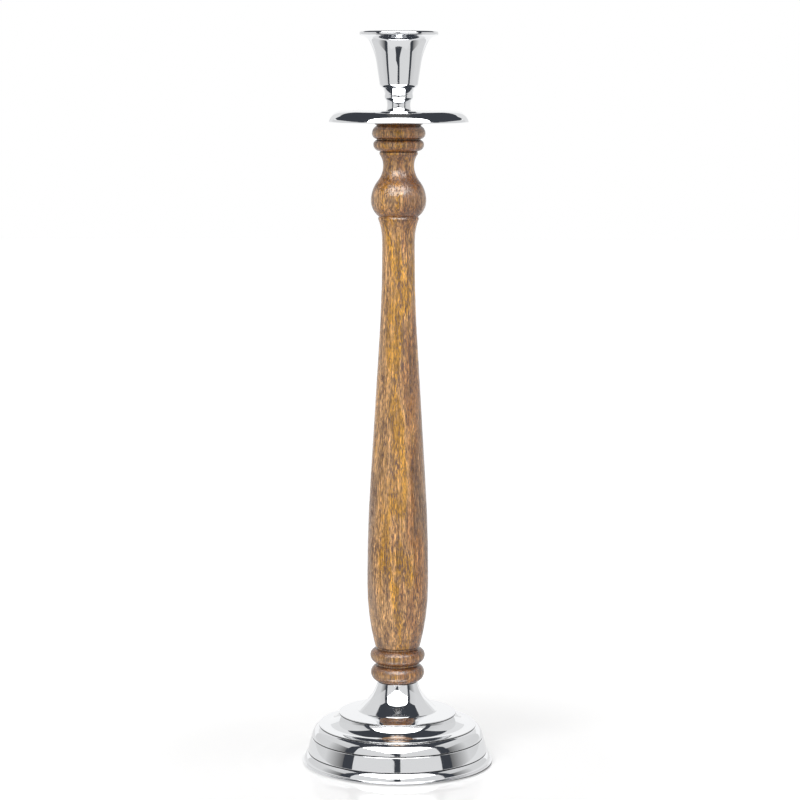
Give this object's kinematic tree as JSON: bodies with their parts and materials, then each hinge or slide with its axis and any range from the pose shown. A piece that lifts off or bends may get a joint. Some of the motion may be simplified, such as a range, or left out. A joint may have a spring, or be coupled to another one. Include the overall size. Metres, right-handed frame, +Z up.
{
  "type": "candlestick",
  "caption": "Tall taper candlestick: polished aluminium stepped base, turned wooden stem, drip pan and flared candle cup, clamped together by a tie rod.",
  "frame": {"origin": "on the turning axis, in the plane of the felt's underside that the candlestick stands on", "axes": "+Z up along the turning axis, towards the candle; the felt disc is shifted towards +X"},
  "size_m": [0.1332, 0.1332, 0.508],
  "materials": {
    "polished_aluminium": "mirror polished",
    "turned_wood": "satin lacquer",
    "zinc_steel": "zinc plated",
    "felt": "matt felt"
  },
  "bodies": {
    "root": {"base_felt": "felt", "base_casting": "polished_aluminium", "turned_stem": "turned_wood", "drip_pan": "polished_aluminium", "candle_cup": "polished_aluminium", "base_washer": "zinc_steel", "spring_washer": "zinc_steel", "hex_nut": "zinc_steel", "tie_rod": "zinc_steel"}
  },
  "joints": []
}
